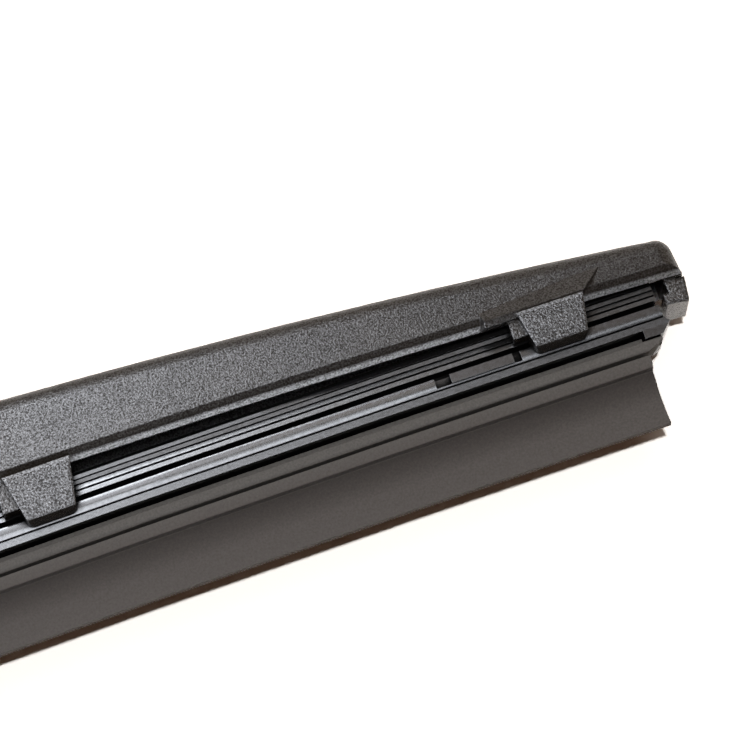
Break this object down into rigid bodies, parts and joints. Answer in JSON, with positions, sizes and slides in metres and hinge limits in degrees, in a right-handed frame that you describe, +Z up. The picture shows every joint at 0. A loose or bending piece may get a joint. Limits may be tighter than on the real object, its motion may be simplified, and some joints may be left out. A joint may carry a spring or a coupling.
{
  "type": "wiper blade",
  "caption": "Rear-window wiper blade: bowed moulded plastic body whose claws hold an extruded carrier and a rubber lip, with a swinging arm adapter at the middle.",
  "frame": {"origin": "middle of the bounding box of the whole blade, lying on its side", "axes": "+X along the blade towards the end in the picture, +Y from the wiping lip up to the spine, +Z up, across the blade"},
  "size_m": [0.305, 0.035, 0.0108],
  "materials": {
    "body_plastic": "grained, semi-gloss",
    "carrier_plastic": "smooth, glossy",
    "wiping_rubber": "matt",
    "pin_steel": "turned",
    "adapter_plastic": "fine grain"
  },
  "bodies": {
    "blade": {"body": "body_plastic", "carrier": "carrier_plastic", "wiping_rubber": "wiping_rubber", "pivot_pin": "pin_steel"},
    "adapter": {"arm_adapter": "adapter_plastic"}
  },
  "joints": [
    {"name": "adapter_swing", "type": "hinge", "parent": "blade", "child": "adapter", "pos_m": [0, 0.0067, 0], "axis": [0, 0, 1], "range_deg": [-15, 15]}
  ]
}
